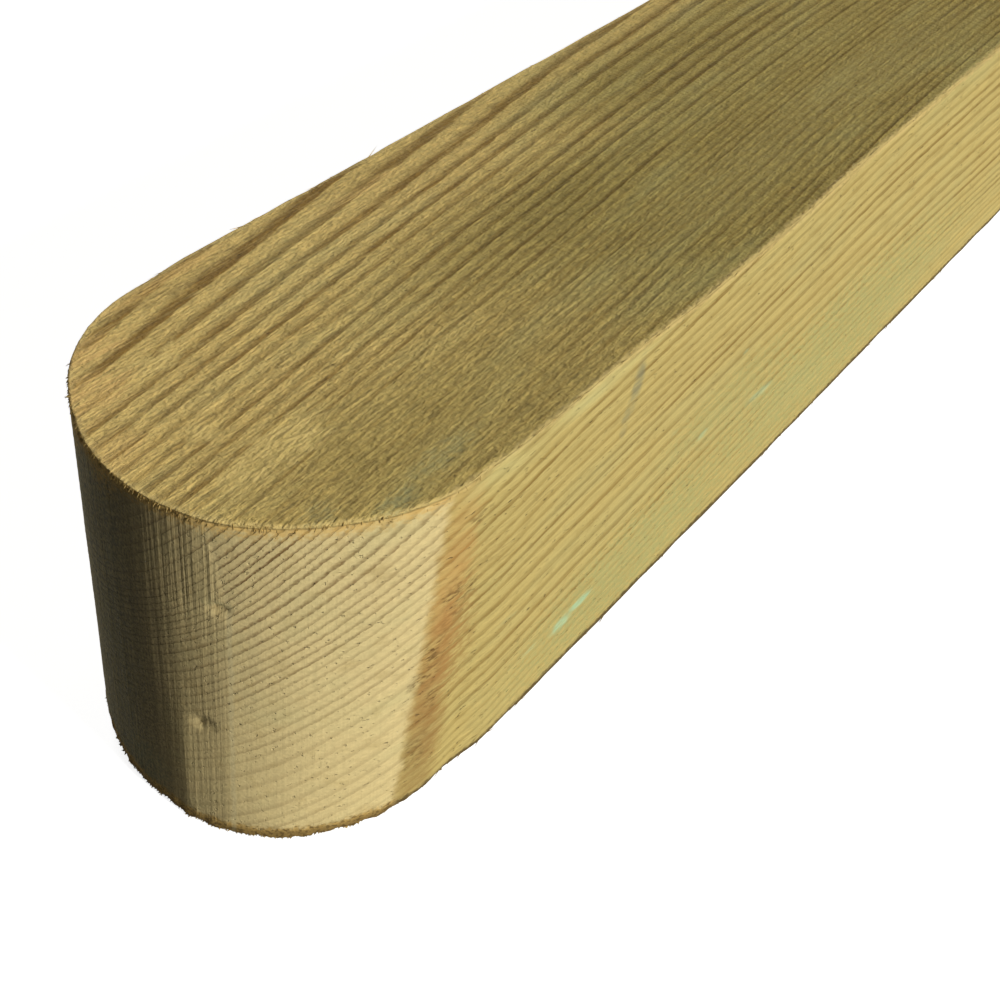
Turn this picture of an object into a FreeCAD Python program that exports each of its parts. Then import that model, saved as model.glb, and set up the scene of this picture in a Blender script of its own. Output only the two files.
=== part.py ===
import FreeCAD, Part
import os

# A sawn softwood post in one piece, square in section, with one end cut to a full half-round.
#
# Frame: millimetres, +Z up. The post lies on its underside, as it is stored. Its length runs
# along X, the rounded head towards -X and the square-cut foot towards +X. The origin is the
# middle of the underside's bounding box, so the post lies on z = 0 and is centred on X and Y.
# The round's axis is upright as the post lies, so the top and underside end in a half circle
# and the head's end face is one curved wall, as high as the post.

# ---------------------------------------------------------------------------------- sizes
post_length = 1200.0     # overall, over the crown of the round
post_width = 100.0       # across the two flat sides, along Y
post_height = 100.0      # underside to top as it lies, along Z
arris_radius = 1.0       # the sawn edges are crisp: only the fibres at the very edge are worn

# ------------------------------------------------------------------------ what follows them
half_width = post_width / 2.0
head_radius = half_width                     # the head is a full half-round, flush with both sides
crown_x = -post_length / 2.0                 # the furthest point of the round
tangent_x = crown_x + head_radius            # where the flat sides run into the round
foot_x = post_length / 2.0                   # the square-cut end


def plan_outline():
    """The outline of the post seen from above: two flat sides, the half-round and the foot."""
    z = 0.0
    near_tangent = FreeCAD.Vector(tangent_x, -half_width, z)
    far_tangent = FreeCAD.Vector(tangent_x, half_width, z)
    crown = FreeCAD.Vector(crown_x, 0.0, z)
    near_foot = FreeCAD.Vector(foot_x, -half_width, z)
    far_foot = FreeCAD.Vector(foot_x, half_width, z)
    edges = [
        Part.LineSegment(near_foot, near_tangent).toShape(),
        Part.Arc(near_tangent, crown, far_tangent).toShape(),
        Part.LineSegment(far_tangent, far_foot).toShape(),
        Part.LineSegment(far_foot, near_foot).toShape(),
    ]
    return Part.Wire(edges)


def is_arris(edge):
    """True for a sharp edge of the blank; the seams where a side meets the round are smooth."""
    upright = abs(edge.BoundBox.ZLength - post_height) < 1e-6
    on_seam = abs(edge.BoundBox.XMin - tangent_x) < 1e-6
    return not (upright and on_seam)


def make_timber_post():
    """The whole post: the plan outline raised to full height, with its arrises just broken."""
    blank = Part.Face(plan_outline()).extrude(FreeCAD.Vector(0.0, 0.0, post_height))
    arrises = [edge for edge in blank.Edges if is_arris(edge)]
    return blank.makeFillet(arris_radius, arrises)


os.makedirs("parts", exist_ok=True)
timber_post = make_timber_post()
timber_post.exportStep("parts/timber_post.step")
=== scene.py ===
"""Looks of a sawn, pressure-treated softwood post with one half-round end.

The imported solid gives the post's place and size. Here it is replaced by one closed mesh that
carries the relief of real sawn timber: a head cut by eye with a bandsaw, raised growth rings and
arrises worn by unequal amounts. A second mesh holds the loose fibres that a saw leaves there.

Lengths are millimetres in the post's own frame (x from the axis of the round head towards the
foot, y across, z up from the underside) until a mesh is handed over, which is in metres.
"""

import itertools
import logging
import math
from collections.abc import Callable
from dataclasses import dataclass
from enum import Enum
from functools import partial

import bpy
import numpy as np
from mathutils import Matrix, Vector


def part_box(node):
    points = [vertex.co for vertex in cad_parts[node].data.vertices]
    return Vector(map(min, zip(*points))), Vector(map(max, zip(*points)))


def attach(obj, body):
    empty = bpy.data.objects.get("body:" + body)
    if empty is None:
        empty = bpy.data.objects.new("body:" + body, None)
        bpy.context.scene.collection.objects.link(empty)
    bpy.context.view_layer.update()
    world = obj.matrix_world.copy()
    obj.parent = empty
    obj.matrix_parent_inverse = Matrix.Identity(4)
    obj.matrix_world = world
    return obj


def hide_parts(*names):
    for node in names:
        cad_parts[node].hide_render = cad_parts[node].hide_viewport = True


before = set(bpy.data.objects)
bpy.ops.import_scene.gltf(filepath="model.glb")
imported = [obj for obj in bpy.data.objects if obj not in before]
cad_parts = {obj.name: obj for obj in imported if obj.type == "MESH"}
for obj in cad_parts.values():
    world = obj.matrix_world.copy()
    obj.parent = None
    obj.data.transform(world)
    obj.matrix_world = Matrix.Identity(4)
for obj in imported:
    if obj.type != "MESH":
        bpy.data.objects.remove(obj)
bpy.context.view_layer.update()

LOG = logging.getLogger("timber_post")
NODE = "timber_post"
BODY = "root"
MM = 0.001  # one millimetre in the scene's metres
TEXTURE_MAP = "OFBake"  # name of the texture map

Colour = tuple[float, float, float, float]
Socket = bpy.types.NodeSocket
Adder = Callable[..., Socket]
Layer = tuple[Socket, Socket | Colour]

# settings that many nodes share
SMOOTH = {"interpolation_type": "SMOOTHSTEP"}
COLOURS = {"out": 2, "data_type": "RGBA"}
# inputs of a Mix node: its share, then its pair of numbers or its pair of colours
SHARE, LOW, HIGH, UNDER, OVER = 0, 2, 3, 6, 7


# ------------------------------------------------------------------------- small helpers
def linear(code: str) -> Colour:
    """Turn an sRGB hex colour into the linear values that shaders use.

    Args:
        code: Colour as a # and six hex digits.

    Returns:
        Linear red, green and blue, and an opacity of 1.
    """
    channels = [int(code[i : i + 2], 16) / 255 for i in (1, 3, 5)]
    red, green, blue = [c / 12.92 if c <= 0.04045 else ((c + 0.055) / 1.055) ** 2.4 for c in channels]
    return red, green, blue, 1.0


def add_node(
    tree: bpy.types.NodeTree,
    kind: str,
    inputs: tuple | dict = (),
    out: int | str = 0,
    **settings: object,
) -> Socket:
    """Add one shader node, with its settings, its values and its links.

    Args:
        tree: Node tree that takes the node.
        kind: Blender's name for the type of node, without the leading ShaderNode.
        inputs: Values or sockets for its inputs, in order or by name. None leaves one as it is.
        out: Which of its outputs is wanted.
        settings: Properties of the node.

    Returns:
        The chosen output socket, or the node's last input where it has no output.
    """
    node = tree.nodes.new(f"ShaderNode{kind}")
    for name, value in settings.items():
        setattr(node, name, value)
    pairs = inputs.items() if isinstance(inputs, dict) else enumerate(inputs)
    for key, value in pairs:
        if isinstance(value, bpy.types.NodeSocket):
            tree.links.new(value, node.inputs[key])
        elif value is not None:
            node.inputs[key].default_value = value
    return node.outputs[out] if node.outputs else node.inputs[-1]


def smooth_step(low: float, high: float, value: np.ndarray) -> np.ndarray:
    """Ease from 0 at low to 1 at high.

    Args:
        low: Where the rise starts.
        high: Where the rise ends.
        value: Values to map.

    Returns:
        The eased share for each value.
    """
    part = np.clip((value - low) / (high - low), 0, 1)
    return part * part * (3 - 2 * part)


def wander(points: np.ndarray, cell: tuple[float, ...], seed: int) -> np.ndarray:
    """Smooth, repeatable noise.

    Args:
        points: Array with a row per point and one to three columns.
        cell: Size of the noise's cells along each column.
        seed: Picks one of many patterns.

    Returns:
        A value from -1 to 1 for each point.
    """
    scaled = points / np.array(cell)
    corner_at = np.floor(scaled).astype(np.int64)
    part = scaled - corner_at
    ease = part * part * (3 - 2 * part)
    strides = np.array([73856093, 19349663, 83492791], np.int64)[: points.shape[1]]
    total = np.zeros(len(points))
    for corner in itertools.product((0, 1), repeat=points.shape[1]):
        weight = np.prod(np.where(corner, ease, 1 - ease), axis=1)
        key = ((corner_at + corner) @ strides + seed * 2654435761) & 0xFFFFFFFF
        key = ((key ^ (key >> 15)) * 2246822519) & 0xFFFFFFFF
        key = ((key ^ (key >> 13)) * 3266489917) & 0xFFFFFFFF
        total += weight * ((key ^ (key >> 16)) / 0x7FFFFFFF - 1)
    return total


# ------------------------------------------------------------------------------ the size
@dataclass(frozen=True)
class PostSize:
    """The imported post's corners, in mm in the scene."""

    low: tuple[float, float, float]
    high: tuple[float, float, float]

    @classmethod
    def from_frame(cls) -> "PostSize":
        """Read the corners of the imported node."""
        low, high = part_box(NODE)
        return cls(tuple(v / MM for v in low), tuple(v / MM for v in high))

    @property
    def radius(self) -> float:
        """Radius of the head, which is half of the width."""
        return (self.high[1] - self.low[1]) / 2

    @property
    def height(self) -> float:
        """Height of the section."""
        return self.high[2] - self.low[2]

    @property
    def foot(self) -> float:
        """Distance from the head's axis to the square end."""
        return self.high[0] - self.low[0] - self.radius

    @property
    def half_round(self) -> float:
        """Length of the head's outline, from tangent to tangent."""
        return math.pi * self.radius

    @property
    def origin(self) -> np.ndarray:
        """The post's own origin in the scene: under the head's axis, on the underside."""
        middle = (self.low[1] + self.high[1]) / 2
        return np.array([self.low[0] + self.radius, middle, self.low[2]])

    def to_scene(self, points: np.ndarray) -> np.ndarray:
        """Turn places in the post's frame into metres in the scene."""
        return (points + self.origin) * MM


# ------------------------------------------------------------------------------ the wood
@dataclass(frozen=True)
class GrowthRings:
    """Annual rings about a pith that lies outside the section, above its far side.

    Sawn so, the rings run as wide stripes along the near side, as narrower ones along the top,
    and as arcs that climb across the round head.
    """

    pith_y: float = 69.0
    pith_z: float = 164.0
    drift_y: float = 8.5  # the stem wasn't straight, so the pith wanders from the post's line
    drift_z: float = 10.6
    drift_period: float = 1150.0
    innermost: float = 50.0
    outermost: float = 250.0
    # (radius, ring width): each width holds from its radius outwards, good years and lean ones
    widths: tuple[tuple[float, float], ...] = (
        (50.0, 3.3),
        (80.0, 2.8),
        (102.0, 2.1),
        (113.0, 1.7),
        (126.0, 2.5),
        (134.0, 2.2),
        (150.0, 2.6),
        (162.0, 4.1),
        (180.0, 3.3),
        (190.0, 2.7),
    )

    def age_at(self) -> tuple[np.ndarray, np.ndarray]:
        """Add the ring widths up.

        Returns:
            Radii, and the number of rings from the innermost radius out to each.
        """
        starts = [start for start, _ in self.widths] + [self.outermost]
        ages = [0.0]
        for (start, width), end in zip(self.widths, starts[1:]):
            ages.append(ages[-1] + (end - start) / width)
        return np.array(starts), np.array(ages)

    def shift(self, points: np.ndarray) -> np.ndarray:
        """How far the rings are out of true circles, in mm, at each point."""
        slow = wander(points, (130.0, 45.0, 45.0), 3)
        quick = wander(points, (34.0, 15.0, 15.0), 5)
        return 0.9 * slow + 0.35 * quick

    def latewood(self, points: np.ndarray) -> np.ndarray:
        """How much of the hard, dark latewood there is.

        Args:
            points: Places on the surface in the post's frame.

        Returns:
            0 in the soft earlywood, up to 1 in the latewood.
        """
        swing = np.sin(math.tau * points[:, 0] / self.drift_period)
        across = points[:, 1] - self.pith_y - self.drift_y * swing
        up = points[:, 2] - self.pith_z - self.drift_z * swing
        part = np.interp(np.hypot(across, up) + self.shift(points), *self.age_at()) % 1.0
        return smooth_step(0.45, 0.85, part) * (1 - smooth_step(0.9, 1.0, part))

    def draw(self, add: Adder, place: Socket) -> tuple[Socket, Socket]:
        """Draw the rings in a material, by distance from the pith.

        Args:
            add: Adds a node to the material.
            place: Position in the post's frame.

        Returns:
            How far its year's growth has come at a place, 0 to 1, and a number for that year.
        """
        x, y, z = add("SeparateXYZ", (place,)).node.outputs
        turn = add("Math", (x, math.tau / self.drift_period), operation="MULTIPLY")
        swing = add("Math", (turn,), operation="SINE")
        legs = []
        for axis, centre, drift in ((y, self.pith_y, self.drift_y), (z, self.pith_z, self.drift_z)):
            pith = add("Math", (swing, drift, centre), operation="MULTIPLY_ADD")
            legs.append(add("Math", (axis, pith), operation="SUBTRACT"))
        arm = add("CombineXYZ", (legs[0], legs[1], 0.0))
        distance = add("VectorMath", (arm,), out="Value", operation="LENGTH")
        shift = add("Attribute", out="Fac", attribute_name="ring_shift")
        fray_at = add("VectorMath", (place, (1 / 9.0, 1 / 1.1, 1 / 1.1)), operation="MULTIPLY")
        fray = add("TexNoise", {"Vector": fray_at, "Scale": 1.0, "Detail": 2.0})
        frayed = add("Math", (fray, 0.8, shift), operation="MULTIPLY_ADD")
        radius = add("Math", (distance, frayed), operation="ADD")
        radii, ages = self.age_at()
        share = add("MapRange", (radius, self.innermost, self.outermost, 0.0, 1.0))
        curve = add("FloatCurve", {"Value": share})
        mapping = curve.node.mapping
        for mm, age in zip(radii[1:-1], ages[1:-1]):
            at = (mm - self.innermost) / (self.outermost - self.innermost)
            mapping.curves[0].points.new(at, age / ages[-1])
        for point in mapping.curves[0].points:
            point.handle_type = "VECTOR"
        mapping.update()
        age = add("Math", (curve, float(ages[-1])), operation="MULTIPLY")
        part = add("Math", (age,), operation="FRACT")
        year = add("Math", (age,), operation="FLOOR")
        chance = add("TexWhiteNoise", {"W": year}, noise_dimensions="1D")
        return part, chance


@dataclass(frozen=True)
class Mark:
    """A soft-edged spot: its centre, how far it reaches along, across and up, and its depth."""

    centre: tuple[float, float, float]
    reach: tuple[float, float, float]
    depth: float = 1.0


@dataclass(frozen=True)
class Stain:
    """One kind of stain: its colour, the noise that frays its edges and where it lies."""

    colour: str
    fray: str
    marks: tuple[Mark, ...]


@dataclass(frozen=True)
class Zones:
    """Where on the post a place is, as sockets that carry 0 to 1, and its coordinates in mm."""

    x: Socket
    y: Socket
    z: Socket
    outline: Socket
    arris: Socket
    top: Socket
    end: Socket
    fresh: Socket
    band: Socket
    second_cut: Socket
    ridge_highlight: Socket
    painted_shade: Socket


@dataclass(frozen=True)
class TearOut:
    """A hollow where the saw tore the end grain out: its place round the head and up it, in mm."""

    at: float
    up: float
    reach: tuple[float, float]
    depth: float
    core: float  # share of the reach that is at full depth
    raggedness: float


@dataclass(frozen=True)
class HeadCut:
    """Two passes of a bandsaw, steered by eye, that left the head a little out of round.

    Places round the outline are degrees from the near tangent towards the far one.
    """

    # (angle, stray at the top, stray at the underside)
    stray: tuple[tuple[float, float, float], ...] = (
        (0.0, -0.8, -1.8),
        (15.0, -1.4, -1.4),
        (38.0, -2.2, 0.1),
        (55.0, -1.3, 1.4),
        (72.0, 0.1, 1.1),
        (86.0, 0.3, 0.0),
        (105.0, -0.1, -0.6),
        (125.0, -0.9, -1.0),
        (145.0, -0.4, -0.7),
        (180.0, -0.8, -0.5),
    )
    fade: float = 16.0  # the stray dies out this far past a tangent
    ridge_angle: float = 70.0  # where the passes meet, at the top
    ridge_step: float = 4.5  # the ridge stands this many degrees nearer from the ledge down
    ridge_height: float = 0.25
    ridge_flank: float = 9.0
    ledge_z: float = 77.0
    band_top: float = 8.5  # edge of the fresh cut, mm round from a tangent, at the top
    band_foot: float = 17.6  # the same at the underside
    band_width: float = 10.8
    band_streaks: float = 14.0  # how far the band's far edge runs out along the grain
    last_x: tuple[float, float] = (18.0, 20.0)  # no part of the cut or its band lies past this
    # mm by which these edges wander
    edge_fray: float = 5.0
    ridge_fray: float = 1.6
    shade_fray: float = 6.0
    # mm round from the near tangent between which the painted shade deepens, as the head turns from the
    # lamp, above the ledge and below it, and between which it thins out again on the far side
    shade_high: tuple[float, float] = (45.0, 87.0)
    shade_low: tuple[float, float] = (61.0, 79.0)
    shade_end: tuple[float, float] = (104.0, 124.0)
    shade_past_ridge: float = 0.26  # share of the painted shade just past the ridge, below the ledge
    # how strongly a highlight is painted along the ridge
    highlight_strength: float = 0.42
    smoothing: int = 9  # degrees over which the stray is evened out
    # a small flat low on the head: its angle, how far it reaches, where it ends, and its height
    flat_angle: float = 79.0
    flat_reach: float = 7.0
    flat_end: tuple[float, float] = (28.0, 44.0)
    flat_height: float = 0.4

    def tear_outs(self, size: PostSize) -> tuple[TearOut, ...]:
        """Place the two hollows in the end grain.

        Args:
            size: The post's size.

        Returns:
            One just under the ledge, past the ridge, and a ragged one lower down.
        """
        past_ridge = math.radians(self.ridge_angle - self.ridge_step) * size.radius + 2.0
        return (
            TearOut(past_ridge, self.ledge_z - 1.5, (3.2, 1.8), 0.9, 0.3, 0.0),
            TearOut(64.0, 37.0, (4.2, 3.0), 0.8, 0.2, 0.6),
        )

    def outward(self, points: np.ndarray, size: PostSize) -> np.ndarray:
        """How far the plan stands outside the true outline.

        Args:
            points: Places in the post's frame.
            size: The post's size.

        Returns:
            Millimetres, away from the head's axis or from the middle of the straight part.
        """
        x, y, z = points.T
        angle = np.degrees(np.arctan2(np.maximum(-x, 0), -y))
        lift = np.clip(z / size.height, 0, 1)
        fine = np.arange(0, 181.0)
        knots, top, foot = np.array(self.stray).T
        kernel = np.ones(self.smoothing) / self.smoothing
        strays = []
        for values in (top, foot):
            padded = np.pad(np.interp(fine, knots, values), self.smoothing // 2, mode="edge")
            strays.append(np.interp(angle, fine, np.convolve(padded, kernel, mode="valid")))
        plain = strays[0] * lift + strays[1] * (1 - lift)
        below = 1 - np.clip((z - self.ledge_z) / (size.height - self.ledge_z), 0, 1)
        ridge_at = self.ridge_angle - self.ridge_step * below
        ridge = self.ridge_height * np.clip(1 - np.abs(angle - ridge_at) / self.ridge_flank, 0, 1)
        low_flat = np.clip(1 - np.abs(angle - self.flat_angle) / self.flat_reach, 0, 1)
        low_flat *= 1 - smooth_step(*self.flat_end, z)
        total = plain + ridge + self.flat_height * low_flat
        reach = np.where(x < 0, np.hypot(x, y), np.abs(y)) / size.radius
        return total * reach * (1 - smooth_step(0, self.fade, x))


@dataclass(frozen=True)
class TreatedSoftwood:
    """Pressure-treated softwood, sawn and left rough.

    The preservative leaves straw-coloured wood with a green cast. The resinous latewood takes
    less of it and stays a darker brown. The surface is dry and fuzzy, so it has no gloss.
    """

    rings: GrowthRings
    cut: HeadCut
    size: PostSize
    side_early: str = "#CFB870"
    side_late: str = "#967B40"
    end_early: str = "#E7D092"
    end_late: str = "#876B42"
    top_early: str = "#DABC71"
    top_late: str = "#8F7036"
    dulled_grey: str = "#C4C9BA"  # grey that the top is darkened towards, away from the head and towards the near side
    ochre: str = "#E2C780"  # fresh, dry fibres along an arris
    rim_ochre: str = "#E2B866"  # and along the rim of the head, where they stand in tufts
    green: str = "#A0A674"  # the preservative's cast, in clouds
    tannin: str = "#8C6436"
    resin: str = "#CF9A58"
    underside_shade_and_pits: str = "#4E3D20"  # painted shade along the underside's arris, and dark pits among the crumbs under the head
    scorched: str = "#5E4220"  # torn fibres along the edge of the fresh cut
    grime: str = "#2E261A"
    painted_shade: str = "#827250"  # shade painted on the head past the ridge, where it turns from the lamp
    deeper_shade: str = "#5C5844"  # deeper painted shade, further round on the crown
    crumbled: str = "#C6A25A"  # end grain that broke away under the head
    ridge_highlight: str = "#E6D6A0"  # painted highlight on the ridge between the two passes, where it catches the light
    roughness: float = 0.88
    gloss: float = 0.15  # rough fibres throw little back, even at a low angle
    torn_fibres: tuple[Mark, ...] = (
        Mark((-2.5, -50.0, 68.0), (6.0, 6.0, 5.0)),
        Mark((-5.5, -50.0, 60.0), (4.5, 6.0, 5.0)),
        Mark((-8.5, -49.3, 50.0), (3.5, 6.0, 5.0)),
        Mark((-10.5, -49.0, 43.0), (4.5, 6.0, 4.0)),
        Mark((-8.5, -49.3, 32.0), (3.0, 6.0, 6.0)),
        Mark((-11.0, -48.8, 18.0), (4.5, 6.0, 7.0), 0.7),
        Mark((2.0, -50.0, 87.0), (4.0, 6.0, 3.0), 0.6),
    )
    stains: tuple[Stain, ...] = (
        # the end grain's juices, drawn a little way into the side
        Stain(
            "#A67B42",
            "tuft",
            (
                Mark((-2.0, -50.0, 52.0), (7.0, 6.0, 20.0), 0.45),
                Mark((-6.0, -50.0, 24.0), (5.0, 6.0, 16.0), 0.35),
                Mark((4.0, -50.0, 72.0), (9.0, 6.0, 6.0), 0.15),
            ),
        ),
        # a faint, darker and greyer patch at the ridge, below the ledge
        Stain("#8B8262", "mottle", (Mark((-44.9, -21.9, 60.0), (6.0, 6.0, 20.0), 0.15),)),
        # the pale lip of the ledge
        Stain("#DCCB90", "fleck", (Mark((-46.6, -18.2, 77.0), (3.4, 4.4, 0.9), 0.7),)),
        # pale sawdust rubbed into the top
        Stain(
            "#E8CC7E",
            "wool",
            (
                Mark((-19.0, -12.0, 100.0), (10.0, 6.0, 30.0), 0.85),
                Mark((-33.0, -13.0, 100.0), (6.0, 5.0, 30.0), 0.8),
                Mark((-28.0, 2.0, 100.0), (4.0, 3.0, 30.0), 0.7),
                Mark((-17.0, 26.0, 100.0), (10.0, 3.5, 30.0), 0.75),
            ),
        ),
        # fresh fibres, laid open along the far rim
        Stain(
            "#EAC377",
            "fibre",
            (
                Mark((-38.0, 27.0, 100.0), (12.0, 7.0, 8.0), 0.9),
                Mark((-45.0, 10.0, 100.0), (8.0, 6.0, 8.0), 0.55),
                Mark((-25.5, 38.5, 100.0), (10.0, 4.0, 8.0), 0.9),
                Mark((0.0, 46.8, 100.0), (30.0, 1.6, 8.0), 0.6),
                Mark((68.0, 40.0, 100.0), (18.0, 1.6, 30.0), 0.5),
            ),
        ),
        # a dark, resinous year beside them
        Stain(
            "#7A6032",
            "tuft",
            (
                Mark((12.0, 42.6, 100.0), (26.0, 2.2, 30.0), 0.3),
                Mark((75.0, 44.2, 100.0), (50.0, 1.7, 30.0), 0.2),
                Mark((-41.0, 21.0, 100.0), (8.0, 0.8, 8.0), 0.3),
                Mark((-36.0, 33.5, 100.0), (7.0, 0.6, 8.0), 0.25),
            ),
        ),
        # preservative that dried blue-green
        Stain(
            "#8C9C78",
            "tuft",
            (
                Mark((-31.0, -32.0, 100.0), (4.0, 3.0, 8.0), 0.22),
                Mark((-18.0, -41.0, 100.0), (6.0, 2.2, 4.0), 0.3),
                Mark((0.0, -39.0, 100.0), (10.0, 3.0, 8.0), 0.2),
                Mark((-49.0, 3.0, 10.0), (6.0, 7.0, 7.0), 0.16),
            ),
        ),
        # a greener strip along the top, further back
        Stain(
            "#AC9C5E",
            "tuft",
            (
                Mark((150.0, -27.0, 100.0), (50.0, 8.0, 30.0), 0.35),
                Mark((235.0, -27.0, 100.0), (60.0, 9.0, 30.0), 0.55),
            ),
        ),
        # and a greener cast low on the near side
        Stain(
            "#B3B070",
            "tuft",
            (
                Mark((84.0, -50.0, 16.0), (56.0, 6.0, 17.0), 0.7),
                Mark((205.0, -50.0, 24.0), (90.0, 6.0, 22.0), 0.7),
                Mark((125.0, -50.0, 48.0), (36.0, 6.0, 9.0), 0.5),
            ),
        ),
        # a pale lip where the arris was rubbed down
        Stain(
            "#DACF8A",
            "cloud",
            (
                Mark((6.0, -52.0, 95.5), (24.0, 3.0, 4.6), 0.8),
                Mark((42.0, -52.0, 97.0), (26.0, 3.0, 3.0), 0.7),
            ),
        ),
        # blue stain
        Stain(
            "#727A68",
            "mottle",
            (
                Mark((63.0, -50.0, 88.0), (2.3, 5.0, 7.5), 0.5),
                Mark((60.5, -50.0, 79.0), (1.9, 5.0, 5.5), 0.35),
            ),
        ),
        # salts of the preservative, dried to mint green
        Stain(
            "#B8DCAC",
            "mottle",
            (
                Mark((46.5, -50.0, 18.0), (5.0, 4.0, 2.2), 0.8),
                Mark((54.0, -50.0, 19.5), (5.0, 4.0, 1.6), 0.75),
                Mark((33.0, -50.0, 20.0), (4.0, 4.0, 1.0), 0.3),
                Mark((112.0, -50.0, 42.0), (3.5, 4.0, 1.2), 0.35),
                Mark((92.0, -50.0, 55.0), (2.5, 4.0, 1.0), 0.3),
                Mark((18.0, -50.0, 42.0), (4.0, 4.0, 1.0), 0.25),
                Mark((148.0, -50.0, 36.0), (6.0, 4.0, 1.6), 0.35),
                Mark((128.0, -50.0, 62.0), (2.0, 4.0, 1.0), 0.35),
            ),
        ),
    )

    def build(self) -> bpy.types.Material:
        """Make the material.

        Returns:
            The finished material.
        """
        material = bpy.data.materials.new("softwood_sawn_pressure_treated")
        material.use_nodes = True
        tree = material.node_tree
        tree.nodes.clear()
        add = partial(add_node, tree)
        metres = add("TexCoord", out="Object")
        scaled = add("VectorMath", (metres, (1 / MM,) * 3), operation="MULTIPLY")
        place = add("VectorMath", (scaled, tuple(self.size.origin)), operation="SUBTRACT")
        part, chance = self.rings.draw(add, place)
        zones = self.zones(add, place)
        patterns = self.patterns(add, place, zones)
        late = self.latewood(add, part, zones)
        colour = self.colour(add, late, chance, zones, patterns)
        colour = self.stained(add, colour, place, zones, patterns)
        height = self.tooth(add, late, zones, patterns)
        bump = add("Bump", {"Distance": MM, "Height": height})
        add(
            "OutputMaterial",
            (
                add(
                    "BsdfPrincipled",
                    {
                        "Base Color": colour,
                        "Roughness": self.roughness,
                        "Specular IOR Level": self.gloss,
                        "Normal": bump,
                    },
                ),
            ),
        )
        return material

    def zones(self, add: Adder, place: Socket) -> Zones:
        """Tell the parts of the surface apart.

        Args:
            add: Adds a node to the material.
            place: Position in the post's frame.

        Returns:
            A socket for each zone.
        """
        x, y, z = add("SeparateXYZ", (place,)).node.outputs
        outline, arris, top, end = [
            add("Attribute", out="Fac", attribute_name=name)
            for name in ("outline_mm", "arris_mm", "top_share", "end_share")
        ]
        fray_at = add("VectorMath", (place, (1 / 4.0, 1 / 4.0, 1 / 3.0)), operation="MULTIPLY")
        fray = add("TexNoise", {"Vector": fray_at, "Scale": 1.0, "Detail": 4.0, "Roughness": 0.65})
        wall = add("MapRange", (top, 0.3, 0.7, 1.0, 0.0))
        headward = add("MapRange", (x, *self.cut.last_x, 1.0, 0.0))
        wall = add("Math", (wall, headward), operation="MULTIPLY")
        fresh, band = self.edge_of_cut(add, place, (outline, z, fray), wall)
        second, ridge_highlight = self.second_pass(add, (outline, z, fray), fresh)
        # shade painted on the head where it turns from the lamp, past the ridge
        painted_shade = self.painted_shade_share(add, (outline, z, fray), fresh, second)
        # the second pass bit less below the ledge
        bite = add("MapRange", (z, self.cut.ledge_z - 10.0, self.cut.ledge_z, 0.3, 1.0))
        second = add("Math", (second, bite), operation="MULTIPLY")
        end = add("Math", (end, fresh), operation="MAXIMUM")
        return Zones(x, y, z, outline, arris, top, end, fresh, band, second, ridge_highlight, painted_shade)

    def edge_of_cut(
        self, add: Adder, place: Socket, where: tuple[Socket, Socket, Socket], wall: Socket
    ) -> tuple[Socket, Socket]:
        """Draw the edge where the fresh cut of the head meets the older sawn sides.

        Args:
            add: Adds a node to the material.
            place: Position in the post's frame.
            where: Way round the outline, height, and a noise that frays edges.
            wall: 1 on the upright faces near the head.

        Returns:
            1 on the fresh cut, and 1 in the stained band beside it.
        """
        outline, z, fray = where
        cut = self.cut
        half = self.size.half_round / 2
        from_crown = add("Math", (outline, half), operation="SUBTRACT")
        aside = add("Math", (from_crown,), operation="ABSOLUTE")
        edge = add("MapRange", (z, 0.0, self.size.height, half - cut.band_foot, half - cut.band_top))
        moved = add("Math", (fray, cut.edge_fray, aside), operation="MULTIPLY_ADD")
        inside = add("Math", (edge, moved), operation="SUBTRACT")
        inside = add("Math", (inside, cut.edge_fray / 2), operation="ADD")
        fresh = add("MapRange", (inside, -1.8, 1.8, 0.0, 1.0), **SMOOTH)
        fresh = add("Math", (fresh, wall), operation="MULTIPLY")
        begun = add("MapRange", (inside, -2.4, 2.2, 1.0, 0.0), **SMOOTH)
        # along the grain the band ends in streaks
        streak_at = add("VectorMath", (place, (1 / 9.0, 1 / 1.4, 1 / 1.4)), operation="MULTIPLY")
        streak = add("TexNoise", {"Vector": streak_at, "Scale": 1.0, "Detail": 3.0})
        streaked = add("Math", (streak, cut.band_streaks, inside), operation="MULTIPLY_ADD")
        streaked = add("Math", (streaked, cut.band_width), operation="ADD")
        over = add("MapRange", (streaked, 4.0, 10.0, 0.0, 1.0), **SMOOTH)
        band = add("Math", (begun, over), operation="MULTIPLY")
        return fresh, add("Math", (band, wall), operation="MULTIPLY")

    def second_pass(
        self, add: Adder, where: tuple[Socket, Socket, Socket], fresh: Socket
    ) -> tuple[Socket, Socket]:
        """Find the part of the head that the saw's second pass left.

        Args:
            add: Adds a node to the material.
            where: Way round the outline, height, and a noise that frays edges.
            fresh: 1 on the fresh cut.

        Returns:
            1 past the ridge, and 1 on the ridge's crest, where a highlight is painted.
        """
        outline, z, fray = where
        cut = self.cut
        high = math.radians(cut.ridge_angle) * self.size.radius
        low = math.radians(cut.ridge_angle - cut.ridge_step) * self.size.radius
        ridge = add("MapRange", (z, cut.ledge_z, self.size.height, low, high))
        past = add("Math", (outline, ridge), operation="SUBTRACT")
        past = add("Math", (fray, cut.ridge_fray, past), operation="MULTIPLY_ADD")
        past = add("Math", (past, cut.ridge_fray / 2), operation="SUBTRACT")
        second = add("MapRange", (past, 0.0, 1.6, 0.0, 1.0), **SMOOTH)
        second = add("Math", (second, fresh), operation="MULTIPLY")
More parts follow.
